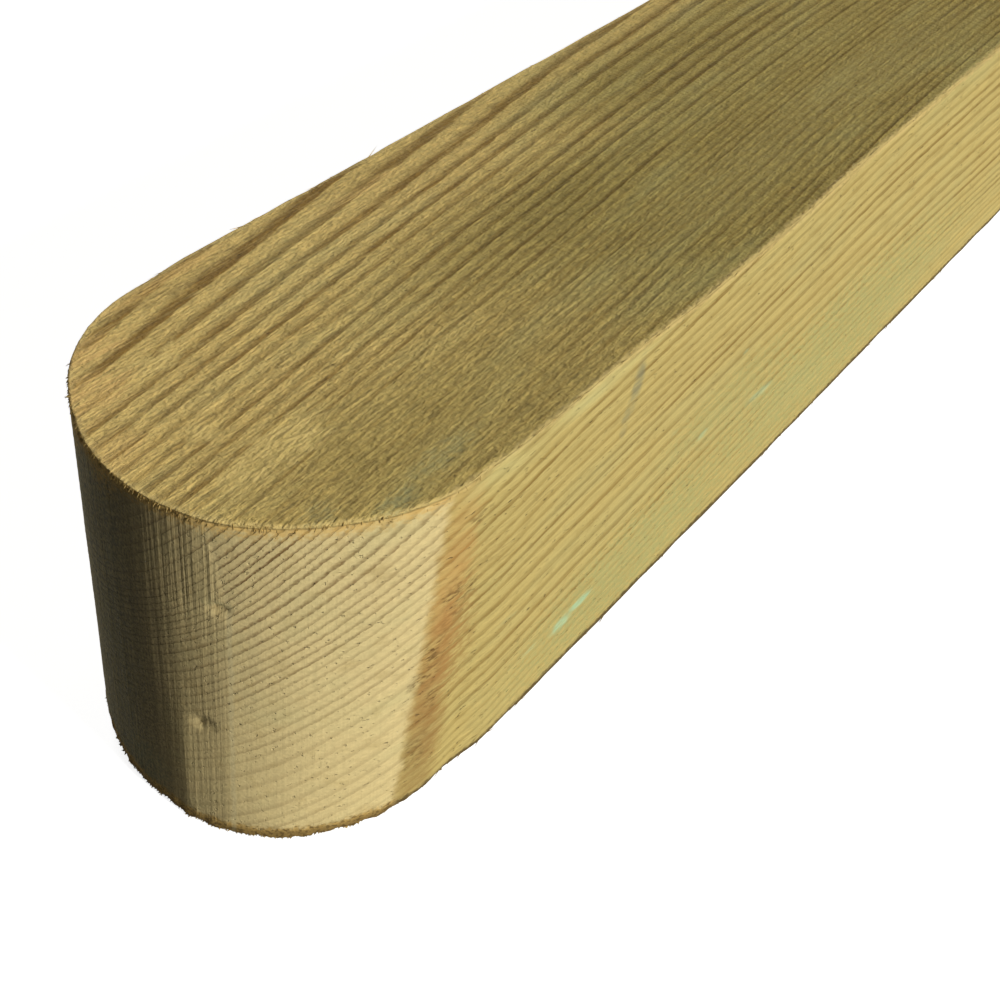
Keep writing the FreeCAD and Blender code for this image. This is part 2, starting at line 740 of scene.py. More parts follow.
        # where a highlight is painted, along the ridge's crest
        off_ridge = add("Math", (past,), operation="ABSOLUTE")
        ridge_highlight = add("MapRange", (off_ridge, 0.2, 0.9, 1.0, 0.0), **SMOOTH)
        up_to_ledge = add("MapRange", (z, cut.ledge_z - 4.0, cut.ledge_z + 4.0, 1.0, 0.2))
        ridge_highlight = add("Math", (ridge_highlight, up_to_ledge), operation="MULTIPLY")
        return second, add("Math", (ridge_highlight, fresh), operation="MULTIPLY")

    def painted_shade_share(
        self, add: Adder, where: tuple[Socket, Socket, Socket], fresh: Socket, second: Socket
    ) -> Socket:
        """Find where shade is painted on the head, past the ridge, where it turns from the lamp.

        Args:
            add: Adds a node to the material.
            where: Way round the outline, height, and a noise that frays edges.
            fresh: 1 on the fresh cut.
            second: 1 where the second pass went.

        Returns:
            0 where none is painted to 1 where it is painted in full.
        """
        outline, z, fray = where
        cut = self.cut
        wavy = add("Math", (fray, cut.shade_fray, outline), operation="MULTIPLY_ADD")
        wavy = add("Math", (wavy, cut.shade_fray / 2), operation="SUBTRACT")
        low, high = [
            add("MapRange", (wavy, *reach, 0.0, 1.0), **SMOOTH)
            for reach in (cut.shade_low, cut.shade_high)
        ]
        # below the ledge the shade is painted only faintly, just past the ridge
        shade_past_ridge = add("Math", (second, cut.shade_past_ridge), operation="MULTIPLY")
        low = add("Math", (low, shade_past_ridge), operation="MAXIMUM")
        above = add("MapRange", (z, cut.ledge_z - 3.0, cut.ledge_z + 1.0, 0.0, 1.0))
        painted_shade = add("Mix", {SHARE: above, LOW: low, HIGH: high}, data_type="FLOAT")
        behind = add("MapRange", (outline, *cut.shade_end, 1.0, 0.3), **SMOOTH)
        painted_shade = add("Math", (painted_shade, behind), operation="MULTIPLY")
        return add("Math", (painted_shade, fresh), operation="MULTIPLY")

    def patterns(self, add: Adder, place: Socket, zones: Zones) -> dict[str, Socket]:
        """Make the noises that the colour and the relief share.

        Args:
            add: Adds a node to the material.
            place: Position in the post's frame.
            zones: Where the place is.

        Returns:
            A socket from 0 to 1 for each name.
        """
        round_place = add("CombineXYZ", (zones.outline, 0.0, zones.z))
        recipes = {
            # name: (position, size along, across and up, octaves)
            "fibre": (place, (15.0, 0.8, 0.8), 3.0),  # bundles, as single fibres can't be seen
            "tuft": (place, (2.0, 0.8, 0.8), 3.0),  # fibres torn up between two saw teeth
            "weft": (place, (0.9, 2.2, 2.2), 2.0),  # the teeth's own marks, across the grain
            "wool": (place, (4.5, 1.7, 1.7), 2.0),  # tufts drawn coarser, to show from further off
            "cloud": (place, (60.0, 11.0, 11.0), 4.0),
            "mottle": (place, (9.0, 4.0, 4.0), 4.0),
            "fleck": (place, (2.6, 1.0, 1.0), 2.0),
            "fuzz": (place, (0.7, 0.7, 0.7), 2.0),
            "saw": (round_place, (0.85, 1.0, 40.0), 3.0),  # drawn at twice the real pitch to show
        }
        made = {}
        for name, (at, extent, octaves) in recipes.items():
            scaled = add("VectorMath", (at, tuple(1 / e for e in extent)), operation="MULTIPLY")
            made[name] = add("TexNoise", {"Vector": scaled, "Scale": 1.0, "Detail": octaves})
        return made

    def latewood(self, add: Adder, part: Socket, zones: Zones) -> Socket:
        """Tell latewood from earlywood, thin and sharp on end grain and wider along the grain.

        Args:
            add: Adds a node to the material.
            part: How far the year's growth has come.
            zones: Where the place is.

        Returns:
            0 in the earlywood to 1 in the latewood.
        """
        start = add("MapRange", (zones.end, 0.0, 1.0, 0.38, 0.46))
        full = add("MapRange", (zones.end, 0.0, 1.0, 0.8, 0.86))
        rise = add("MapRange", (part, start, full, 0.0, 1.0), **SMOOTH)
        fall = add("MapRange", (part, 0.9, 1.0, 1.0, 0.0), **SMOOTH)
        late = add("Math", (rise, fall), operation="MULTIPLY")
        # the saw tore the rings open high on the head, near the ridge, and closed them elsewhere; the
        # lines there are drawn darker, partly the latewood's colour and partly painted shade in the
        # torn grooves
        high = add("MapRange", (zones.z, 35.0, 95.0, 0.2, 1.0))
        round_by = add("MapRange", (zones.outline, 14.0, 52.0, 0.5, 1.0))
        torn = add("Math", (high, round_by), operation="MULTIPLY")
        torn = add("MapRange", (torn, 0.1, 1.0, 0.3, 1.4))
        # the second pass left its stripes over them
        blurred = add("MapRange", (zones.second_cut, 0.0, 1.0, 1.0, 0.45))
        torn = add("Math", (torn, blurred), operation="MULTIPLY")
        # along the grain the rings fade towards the underside, where the saw ran nearly with them
        clear = add("MapRange", (zones.z, 4.0, 34.0, 0.45, 1.0), **SMOOTH)
        torn = add("Mix", {SHARE: zones.fresh, LOW: clear, HIGH: torn}, data_type="FLOAT")
        # on the top of the head the saw's own marks hide the rings towards the near side
        plain = add("MapRange", (zones.y, -34.0, 10.0, 0.55, 1.0), **SMOOTH)
        beyond = add("MapRange", (zones.x, 0.0, 80.0, 0.0, 1.0), **SMOOTH)
        plain = add("Math", (plain, beyond), operation="MAXIMUM")
        farther = add("MapRange", (zones.y, 8.0, 40.0, 1.0, 1.3))
        plain = add("Math", (plain, farther), operation="MULTIPLY")
        torn = add("Mix", {SHARE: zones.top, LOW: torn, HIGH: plain}, data_type="FLOAT")
        return add("Math", (late, torn), operation="MULTIPLY")

    def colour(
        self, add: Adder, late: Socket, chance: Socket, zones: Zones, patterns: dict[str, Socket]
    ) -> Socket:
        """Colour the clean wood.

        Args:
            add: Adds a node to the material.
            late: Share of latewood.
            chance: A number for the year's ring.
            zones: Where the place is.
            patterns: The shared noises.

        Returns:
            The colour.
        """
        tones = []
        for side, end, top in (
            (self.side_early, self.end_early, self.top_early),
            (self.side_late, self.end_late, self.top_late),
        ):
            tone = add("Mix", {SHARE: zones.end, UNDER: linear(side), OVER: linear(end)}, **COLOURS)
            tones.append(add("Mix", {SHARE: zones.top, UNDER: tone, OVER: linear(top)}, **COLOURS))
        strength = add("MapRange", (chance, 0.0, 1.0, 0.45, 1.0))
        dashed = add("MapRange", (patterns["fibre"], 0.35, 0.58, 0.55, 1.1))
        strength = add("Math", (strength, dashed), operation="MULTIPLY")
        share = add("Math", (late, strength), operation="MULTIPLY")
        colour = add("Mix", {SHARE: share, UNDER: tones[0], OVER: tones[1]}, **COLOURS)
        shade = self.unevenness(add, zones, patterns)
        grey = add("CombineColor", (shade, shade, shade))
        dull = self.dullness(add, zones)
        for share, tint in ((1.0, grey), (dull, linear(self.dulled_grey))):
            pair = {SHARE: share, UNDER: colour, OVER: tint}
            colour = add("Mix", pair, **COLOURS, blend_type="MULTIPLY")
        return colour

    def unevenness(self, add: Adder, zones: Zones, patterns: dict[str, Socket]) -> Socket:
        """Work out how much lighter or darker than its tone each place is.

        Args:
            add: Adds a node to the material.
            zones: Where the place is.
            patterns: The shared noises.

        Returns:
            A factor of about 1.
        """
        top_tufts = add("MapRange", (zones.top, 0.0, 1.0, 0.1, 0.46))
        near_half = add("MapRange", (zones.y, -20.0, 25.0, 0.55, 0.25))
        top_weft = add("Math", (near_half, zones.top), operation="MULTIPLY")
        clouds = add("MapRange", (zones.top, 0.0, 1.0, 0.26, 0.55))
        # low on the side, where the rings fade, the wood is blotchy instead
        blotches = add("MapRange", (zones.z, 12.0, 40.0, 0.4, 0.1))
        # the second pass of the saw left stripes down the head
        stripes = add("MapRange", (zones.second_cut, 0.0, 1.0, 0.06, 0.5))
        stripes = add("Math", (stripes, zones.fresh), operation="MULTIPLY")
        # the rim of the crown is frayed, bundle by bundle
        rim = add("MapRange", (zones.x, -26.0, -44.0, 0.38, 1.7))
        bundles = add("Mix", {SHARE: zones.top, LOW: 0.36, HIGH: rim}, data_type="FLOAT")
        wool = add("MapRange", (zones.top, 0.0, 1.0, 0.0, 0.8))
        shade: Socket | float = 1.0
        for pattern, depth in (
            ("fibre", bundles),
            ("wool", wool),
            ("tuft", top_tufts),
            ("weft", top_weft),
            ("fuzz", 0.12),
            ("cloud", clouds),
            ("mottle", blotches),
            ("saw", stripes),
        ):
            about = add("Math", (patterns[pattern], 0.5), operation="SUBTRACT")
            swing = add("Math", (about, depth), operation="MULTIPLY")
            shade = add("Math", (swing, shade), operation="ADD")
        return shade

    def dullness(self, add: Adder, zones: Zones) -> Socket:
        """Darken the top towards grey, most of all towards the near side and away from the head.

        Args:
            add: Adds a node to the material.
            zones: Where the place is.

        Returns:
            0 where the wood is bright to 1 where it is darkened most.
        """
        away = add("MapRange", (zones.x, -25.0, 110.0, 0.0, 1.0), **SMOOTH)
        nearer = add("MapRange", (zones.y, 32.0, 0.0, 0.05, 1.0), **SMOOTH)
        further = add("MapRange", (zones.x, 90.0, 170.0, 0.0, 0.95), **SMOOTH)
        off_far_arris = add("MapRange", (zones.y, 45.0, 30.0, 0.3, 1.0))
        further = add("Math", (further, off_far_arris), operation="MULTIPLY")
        nearer = add("Math", (nearer, further), operation="MAXIMUM")
        dull = add("Math", (away, nearer), operation="MULTIPLY")
        at_edge = add("MapRange", (zones.y, 10.0, -32.0, 0.0, 0.68), **SMOOTH)
        off_rim = add("MapRange", (zones.x, -46.0, -14.0, 0.5, 1.0))
        at_edge = add("Math", (at_edge, off_rim), operation="MULTIPLY")
        dull = add("Math", (dull, at_edge), operation="MAXIMUM")
        return add("Math", (dull, zones.top), operation="MULTIPLY")

    def spots(self, add: Adder, place: Socket, marks: tuple[Mark, ...], fray: Socket) -> Socket:
        """Cover a few marks.

        Args:
            add: Adds a node to the material.
            place: Position in the post's frame.
            marks: The marks.
            fray: A noise that frays their edges.

        Returns:
            1 inside the marks and 0 away from them.
        """
        total: Socket | float = 0.0
        for mark in marks:
            offset = add("VectorMath", (place, mark.centre), operation="SUBTRACT")
            scaled = add("VectorMath", (offset, tuple(1 / r for r in mark.reach)), operation="MULTIPLY")
            distance = add("VectorMath", (scaled,), out="Value", operation="LENGTH")
            frayed = add("Math", (fray, 1.6, distance), operation="MULTIPLY_ADD")
            spot = add("MapRange", (frayed, 1.2, 2.2, mark.depth, 0.0), **SMOOTH)
            total = add("Math", (spot, total), operation="MAXIMUM")
        broken = add("MapRange", (fray, 0.42, 0.6, 1.0, 0.3))
        return add("Math", (total, broken), operation="MULTIPLY")

    def stained(
        self, add: Adder, colour: Socket, place: Socket, zones: Zones, patterns: dict[str, Socket]
    ) -> Socket:
        """Lay the stains, marks and dirt over the wood.

        Args:
            add: Adds a node to the material.
            colour: Colour of the clean wood.
            place: Position in the post's frame.
            zones: Where the place is.
            patterns: The shared noises.

        Returns:
            The colour with its stains.
        """
        green = add("MapRange", (patterns["cloud"], 0.48, 0.72, 0.0, 0.22))
        brown = add("MapRange", (patterns["mottle"], 0.55, 0.8, 0.0, 0.4))
        layers = [(green, linear(self.green)), (brown, linear(self.side_late))]
        layers += self.cut_layers(add, zones, patterns)
        layers += self.arris_layers(add, zones, patterns)
        for stain in self.stains:
            share = self.spots(add, place, stain.marks, patterns[stain.fray])
            layers.append((share, linear(stain.colour)))
        layers += self.dark_layers(add, place, zones, patterns)
        for share, over in layers:
            colour = add("Mix", {SHARE: share, UNDER: colour, OVER: over}, **COLOURS)
        return colour

    def cut_layers(self, add: Adder, zones: Zones, patterns: dict[str, Socket]) -> list[Layer]:
        """Lay painted shade on the head past the ridge, and the stained band beside it.

        Args:
            add: Adds a node to the material.
            zones: Where the place is.
            patterns: The shared noises.

        Returns:
            The share and the colour of each.
        """
        painted_shade = zones.painted_shade
        # the painted shade is lighter along the saw's streaks, and speckled between them
        for pattern, clean, dirty, least in (("saw", 0.5, 0.66, 0.8), ("tuft", 0.4, 0.62, 0.72)):
            kept = add("MapRange", (patterns[pattern], clean, dirty, 1.0, least))
            painted_shade = add("Math", (painted_shade, kept), operation="MULTIPLY")
        # the painted shade deepens further round the crown, where the head faces further from the lamp
        rounded = add("MapRange", (zones.outline, 72.0, 88.0))
        pair = {SHARE: rounded, UNDER: linear(self.painted_shade), OVER: linear(self.deeper_shade)}
        shade_colour = add("Mix", pair, **COLOURS)
        band = zones.band
        patchy = add("MapRange", (patterns["mottle"], 0.35, 0.65, 0.4, 0.85))
        # the band is fainter towards both arrises
        for near, far, least in ((60.0, 90.0, 0.35), (40.0, 15.0, 0.65)):
            fainter = add("MapRange", (zones.z, near, far, 1.0, least))
            patchy = add("Math", (patchy, fainter), operation="MULTIPLY")
        band = add("Math", (band, patchy), operation="MULTIPLY")
        upper = add("MapRange", (zones.z, 15.0, 75.0, 0.0, 1.0))
        pair = {SHARE: upper, UNDER: linear(self.tannin), OVER: linear(self.resin)}
        return [(painted_shade, shade_colour), (band, add("Mix", pair, **COLOURS))]

    def arris_layers(self, add: Adder, zones: Zones, patterns: dict[str, Socket]) -> list[Layer]:
        """Lay dry fibres along the arrises, crumbs and dark pits under the head, and a painted
        highlight along the ridge.

        Args:
            add: Adds a node to the material.
            zones: Where the place is.
            patterns: The shared noises.

        Returns:
            The share and the colour of each.
        """
        # on the head the tufts reach further from the rim
        nearness = add("MapRange", (zones.fresh, 0.0, 1.0, 1.0, 0.42))
        arris = add("Math", (zones.arris, nearness), operation="MULTIPLY")
        frayed = add("Math", (patterns["tuft"], 3.4, arris), operation="MULTIPLY_ADD")
        lip = add("MapRange", (frayed, 1.9, 3.6, 0.7, 0.0), **SMOOTH)
        pair = {SHARE: zones.fresh, UNDER: linear(self.ochre), OVER: linear(self.rim_ochre)}
        dry = add("Mix", pair, **COLOURS)
        # under the head the end grain broke away in crumbs
        crumb_edge = add("Math", (patterns["fleck"], 5.0, zones.z), operation="MULTIPLY_ADD")
        crumbs = add("MapRange", (crumb_edge, 5.4, 7.4, 0.9, 0.0), **SMOOTH)
        crumbs = add("Math", (crumbs, zones.fresh), operation="MULTIPLY")
        pits = add("MapRange", (patterns["tuft"], 0.46, 0.58, 0.0, 0.8))
        pits = add("Math", (pits, crumbs), operation="MULTIPLY")
        # a painted highlight along the ridge
        ridge_highlight = add("Math", (zones.ridge_highlight, self.cut.highlight_strength), operation="MULTIPLY")
        return [
            (lip, dry),
            (crumbs, linear(self.crumbled)),
            (pits, linear(self.underside_shade_and_pits)),
            (ridge_highlight, linear(self.ridge_highlight)),
        ]

    def dark_layers(
        self, add: Adder, place: Socket, zones: Zones, patterns: dict[str, Socket]
    ) -> list[Layer]:
        """Lay what is darkest over the rest: torn fibres, painted shade along the lower arris, and
        specks.

        Args:
            add: Adds a node to the material.
            place: Position in the post's frame.
            zones: Where the place is.
            patterns: The shared noises.

        Returns:
            The share and the colour of each.
        """
        torn = self.spots(add, place, self.torn_fibres, patterns["mottle"])
        bundle = add("MapRange", (patterns["fleck"], 0.46, 0.62, 0.0, 0.85))
        torn = add("Math", (bundle, torn), operation="MULTIPLY")
        # painted shade along the underside's arris, ragged with the tufts
        low_edge = add("Math", (patterns["tuft"], 3.0, zones.z), operation="MULTIPLY_ADD")
        underside_shade = add("MapRange", (low_edge, 3.2, 5.0, 0.9, 0.0), **SMOOTH)
        on_side = add("MapRange", (zones.fresh, 0.0, 1.0, 1.0, 0.6))
        underside_shade = add("Math", (underside_shade, on_side), operation="MULTIPLY")
        fleck = add("MapRange", (patterns["fleck"], 0.66, 0.76, 0.0, 0.65))
        most = add("MapRange", (zones.fresh, 0.0, 1.0, 1.0, 0.25))
        mostly_clean = add("MapRange", (patterns["mottle"], 0.5, 0.62, 0.0, most))
        fleck = add("Math", (fleck, mostly_clean), operation="MULTIPLY")
        return [
            (torn, linear(self.scorched)),
            (underside_shade, linear(self.underside_shade_and_pits)),
            (fleck, linear(self.grime)),
        ]

    def tooth(self, add: Adder, late: Socket, zones: Zones, patterns: dict[str, Socket]) -> Socket:
        """Give the height of the relief that is too fine for the mesh.

        Args:
            add: Adds a node to the material.
            late: Share of latewood.
            zones: Where the place is.
            patterns: The shared noises.

        Returns:
            Height in mm.
        """
        fibre = add("MapRange", (zones.fresh, 0.0, 1.0, 0.35, 0.07))
        tufts = add("MapRange", (zones.top, 0.0, 1.0, 0.05, 0.75))
        weft = add("MapRange", (zones.top, 0.0, 1.0, 0.02, 0.5))
        saw = add("MapRange", (zones.second_cut, 0.0, 1.0, 0.08, 0.4))
        saw = add("Math", (saw, zones.fresh), operation="MULTIPLY")
        # latewood stands proud along the grain, and is torn out where the saw crosses it
        groove = add("MapRange", (zones.fresh, 0.0, 1.0, 0.05, -0.12))
        height: Socket | float = 0.0
        for pattern, depth in (
            (patterns["fibre"], fibre),
            (patterns["tuft"], tufts),
            (patterns["weft"], weft),
            (patterns["fuzz"], 0.07),
            (patterns["saw"], saw),
            (late, groove),
        ):
            height = add("Math", (pattern, depth, height), operation="MULTIPLY_ADD")
        pit = add("MapRange", (patterns["fleck"], 0.66, 0.74, 0.0, -0.25))
        return add("Math", (height, pit), operation="ADD")


# ------------------------------------------------------------------------------ the post
class Side(Enum):
    """The six sides of the post: axis that the side ends, which end, and its texture strip."""

    TOP = (2, -1, (0.0, 0.73), (1.0, 1.0))
    NEAR = (1, 0, (0.0, 0.48), (1.0, 0.73))
    FAR = (1, -1, (0.0, 0.3), (1.0, 0.48))
    UNDERSIDE = (2, 0, (0.0, 0.18), (1.0, 0.3))
    HEAD = (0, 0, (0.0, 0.0), (0.35, 0.18))
    FOOT = (0, -1, (0.35, 0.0), (0.7, 0.18))


@dataclass(frozen=True)
class SawnPost:
    """One length of sawn timber, square at the foot and half-round at the head."""

    size: PostSize
    rings: GrowthRings
    cut: HeadCut
    step: float = 1.06  # gap between grid lines on the head
    longest_step: float = 13.0  # and towards the foot
    growth: float = 1.06
    edge_gaps: tuple[float, ...] = (0.3, 0.3, 0.4, 0.6, 0.8, 1.0)  # where an arris is rounded
    arris: float = 0.6
    rim: float = 1.3  # the saw broke the head's upper rim further
    ragged: float = 0.8  # and crumbled its lower one
    torn: float = 0.5  # here and there a splinter came away
    chipped: float = 0.9  # and more of them from the long lower arrises
    wear_limits: tuple[float, float] = (0.3, 2.6)
    # a slight crown on the top's near edge: where it rises and falls along x, where it starts
    # and is full going up, and its height
    crown_rise: tuple[float, float] = (55.0, 95.0)
    crown_fall: tuple[float, float] = (130.0, 190.0)
    crown_up: tuple[float, float] = (60.0, 98.0)
    crown_height: float = 1.2
    strip_margin: float = 0.004
    strip_start: float = 400.0  # strips stretch more slowly than the post grows past this length

    def build(self, material: bpy.types.Material) -> bpy.types.Object:
        """Make the post.

        Args:
            material: The wood.

        Returns:
            The post as one closed mesh.
        """
        lines = self.lines()
        counts = [len(line) for line in lines]
        on_skin = np.zeros(counts, bool)
        for axis, end in itertools.product(range(3), (0, -1)):
            np.moveaxis(on_skin, axis, 0)[end] = True
        spots = np.argwhere(on_skin)
        ids = np.full(counts, -1)
        ids[on_skin] = np.arange(len(spots))
        flat = np.stack([line[spots[:, axis]] for axis, line in enumerate(lines)], axis=1)
        points, normals, nominal = self.surface(flat)
        faces, map_places = self.faces(ids, lines)
        mesh = bpy.data.meshes.new(NODE)
        mesh.from_pydata(self.size.to_scene(points).tolist(), [], faces.tolist())
        mesh.polygons.foreach_set("use_smooth", np.ones(len(faces), bool))
        layer = mesh.uv_layers.new(name=TEXTURE_MAP)
        layer.uv.foreach_set("vector", map_places.astype(np.float32).ravel())
        for name, values in self.zones(nominal, normals).items():
            attribute = mesh.attributes.new(name, "FLOAT", "POINT")
            attribute.data.foreach_set("value", values.astype(np.float32))
        mesh.materials.append(material)
        piece = bpy.data.objects.new("timber_post_sawn", mesh)
        bpy.context.collection.objects.link(piece)
        return piece

    def lines(self) -> tuple[np.ndarray, np.ndarray, np.ndarray]:
        """Choose the grid lines along, across and up, crowded where an arris is rounded."""
        edge = np.concatenate([[0], np.cumsum(self.edge_gaps)])
        half = self.size.radius
        inner = np.linspace(edge[-1], half, round((half - edge[-1]) / self.step) + 1)[1:]
        rising = np.concatenate([edge, inner]) - half
        across = np.concatenate([rising, -rising[-2::-1]])
        up = (across / half + 1) * self.size.height / 2
        along = [0.0]
        gap = self.step
        while along[-1] + gap < self.size.foot - edge[-1]:
            along.append(along[-1] + gap)
            gap = min(gap * self.growth, self.longest_step)
        straight = np.array(along[1:]) * (self.size.foot - edge[-1]) / along[-1]
        return np.concatenate([rising, straight, self.size.foot - edge[-2::-1]]), across, up

    def surface(self, flat: np.ndarray) -> tuple[np.ndarray, np.ndarray, np.ndarray]:
        """Find where places on the plain box come to lie on the real post.

        Args:
            flat: Places on a box whose head is square.

        Returns:
            Places on the worn post, the way out of it at each, and the places before wear.
        """
        radius = self.size.radius
        along, across, up = flat.T
        v = np.minimum(along, 0) / radius
        u = across / radius
        x = np.where(along < 0, radius * v * np.sqrt(1 - u * u / 2), along)
        y = radius * u * np.sqrt(1 - v * v / 2)
        nominal = np.stack([x, y, up], axis=1)
        worn = self.wear(nominal)
        core = nominal.copy()
        core[:, 2] = np.clip(up, worn, self.size.height - worn)
        inner = radius - worn
        shrink = np.minimum(1, inner / np.maximum(np.hypot(x, y), 1e-9))
        core[:, 0] = np.where(x < 0, x * shrink, np.minimum(x, self.size.foot - worn))
        core[:, 1] = np.where(x < 0, y * shrink, np.clip(y, -inner, inner))
        away = nominal - core
        normals = away / np.linalg.norm(away, axis=1, keepdims=True)
        points = core + normals * (worn + self.relief(nominal, normals))[:, None]
        reach = np.maximum(np.where(x < 0, np.hypot(x, y), np.abs(y)), 1e-9)
        out = np.stack([np.minimum(x, 0) / reach, y / reach], axis=1)
        crown = smooth_step(*self.crown_rise, x) * (1 - smooth_step(*self.crown_fall, x))
        crown *= self.crown_height * smooth_step(*self.crown_up, up) * smooth_step(0, -radius, y)
        points[:, :2] += out * (self.cut.outward(nominal, self.size) + crown)[:, None]
        points[:, 2] = np.maximum(points[:, 2], 0)
        return points, normals, nominal

    def outline(self, places: np.ndarray) -> np.ndarray:
        """Measure round the plan, from the near tangent over the crown, in mm."""
        x, y, _ = places.T
        round_head = self.size.radius * np.arctan2(-x, -y)
        straight = np.where(y < 0, -x, self.size.half_round + x)
        return np.where(x < 0, round_head, straight)

    def wear(self, places: np.ndarray) -> np.ndarray:
        """Radius to which the arris near each place is worn."""
        x, y, z = places.T
        worn = self.arris * (1 + 0.4 * wander(places, (9.0, 6.0, 6.0), 11))
        torn = smooth_step(0.45, 0.8, wander(places, (4.0, 2.5, 2.5), 12))
        at = self.outline(places)
        on_rim = smooth_step(-25, 5, at) * (1 - smooth_step(54, 66, at)) * smooth_step(50, 90, z)
        under = smooth_step(-10, 5, at) * (1 - smooth_step(140, 160, at)) * (1 - smooth_step(10, 40, z))
        rim = self.rim * on_rim * (1 + 0.35 * wander(places, (2.5, 2.5, 9.0), 13))
        ragged = self.ragged * under * (1 + 0.8 * wander(places, (1.8, 1.8, 9.0), 14))
        chipped = self.chipped * smooth_step(0.2, 0.7, wander(places, (11.0, 5.0, 5.0), 15))
        chipped *= 1 - smooth_step(10, 40, z)
        return np.clip(worn + self.torn * torn + rim + ragged + chipped, *self.wear_limits)

    def relief(self, places: np.ndarray, normals: np.ndarray) -> np.ndarray:
        """Height of the sawn surface over the flat one.

        Args:
            places: Places before wear.
            normals: The way out of the post at each.

        Returns:
            Millimetres along the normal.
        """
        x, y, z = places.T
        flat = smooth_step(0.4, 0.9, np.abs(normals[:, 2]))
        height = 0.45 * wander(places, (160.0, 45.0, 45.0), 21)
        height += 0.12 * wander(places, (38.0, 12.0, 12.0), 22)
        on_head = (x < 0) * (1 - flat)
        height += 0.06 * (1 - 0.4 * on_head) * self.rings.latewood(places)
        height += (0.05 + 0.07 * flat) * (1 - 0.8 * on_head) * wander(places, (13.0, 1.3, 1.3), 23)
        height += 0.07 * flat * wander(places, (1.6, 2.2, 2.2), 24)
        at = self.outline(places)
        low_rim = smooth_step(0, 12, at) * (1 - smooth_step(140, 155, at)) * (1 - smooth_step(3, 7, z))
        height += 0.3 * low_rim * wander(places, (1.7, 1.7, 1.5), 27)
        ridge = math.radians(self.cut.ridge_angle) * self.size.radius
        second = smooth_step(ridge - 3, ridge + 1, at) * (1 - smooth_step(135, 150, at))
        unrolled = np.stack([at, z], axis=1)
        height += (0.015 + 0.045 * second) * wander(unrolled, (1.6, 60.0), 25) * on_head
        crumbs = wander(unrolled, (1.2, 1.2), 26)
        for tear in self.cut.tear_outs(self.size):
            away = np.hypot((at - tear.at) / tear.reach[0], (z - tear.up) / tear.reach[1])
            depth = tear.depth * (1 + tear.raggedness * crumbs)
            height -= depth * (1 - smooth_step(tear.core, 1.0, away)) * (1 - flat)
        return height

    def zones(self, places: np.ndarray, normals: np.ndarray) -> dict[str, np.ndarray]:
        """Work out what the material needs to know of each vertex.

        Args:
            places: Places before wear.
            normals: The way out of the post at each.

        Returns:
            Values for each named attribute.
        """
        x, y, z = places.T
        inward = np.where(x < 0, self.size.radius - np.hypot(x, y), self.size.radius - np.abs(y))
        inward = np.maximum(np.minimum(inward, self.size.foot - x), 0)
        upward = np.maximum(np.minimum(z, self.size.height - z), 0)
        flat = smooth_step(0.35, 0.75, np.abs(normals[:, 2]))
        on_foot = (normals[:, 0] > 0.7) & (x > 0)
        from_end = np.where(on_foot, self.size.radius - np.abs(y), self.size.foot - x)
        to_arris = np.where(np.abs(normals[:, 2]) > 0.7, inward, np.minimum(upward, from_end))
        return {
            "ring_shift": self.rings.shift(places),
            "outline_mm": self.outline(places),
            "arris_mm": np.maximum(to_arris, 0),
            "top_share": flat,
            "end_share": smooth_step(0.4, 0.8, normals[:, 0]) * (x > 0),
        }

    def faces(
        self, ids: np.ndarray, lines: tuple[np.ndarray, np.ndarray, np.ndarray]
    ) -> tuple[np.ndarray, np.ndarray]:
        """Join the vertices into quads, side by side, and lay each side out on its strip.

        Args:
            ids: Number of the vertex at each place of the grid.
            lines: The grid lines.

        Returns:
            Vertex numbers of each face, and the place of each corner on the texture.
        """
        spread = []
        for axis, line in enumerate(lines):
            run = line - line[0]
            if axis == 0:
                run = np.log1p(run / self.strip_start)
            spread.append(run / run[-1])
        quads, places = [], []
        for side in Side:
            axis, end, low, high = side.value
            sheet = np.take(ids, end, axis=axis)
            u, v = np.meshgrid(*[s for a, s in enumerate(spread) if a != axis], indexing="ij")
            margin = self.strip_margin
            span = [h - l - 2 * margin for l, h in zip(low, high)]
            laid = np.stack([low[0] + margin + u * span[0], low[1] + margin + v * span[1]], axis=-1)
            corners = (
                (slice(None, -1), slice(None, -1)),
                (slice(1, None), slice(None, -1)),
                (slice(1, None), slice(1, None)),
                (slice(None, -1), slice(1, None)),
            )
            if (axis == 1) == (end == -1):
                corners = corners[::-1]
            quads.append(np.stack([sheet[corner].ravel() for corner in corners], axis=1))
            places.append(np.stack([laid[corner].reshape(-1, 2) for corner in corners], axis=1))
        return np.concatenate(quads), np.concatenate(places).reshape(-1, 2)


# ------------------------------------------------------------------------------ the fibres
class Arris(Enum):
    """Where loose fibres stand: how many, how long at most, and how thick at the root."""

    HEAD_TOP = (1500, 1.4, 0.5)
    HEAD_UNDERSIDE = (1300, 0.9, 0.6)
    LONG_TOP = (420, 6.0, 0.32)
    LONG_UNDERSIDE = (420, 5.0, 0.36)


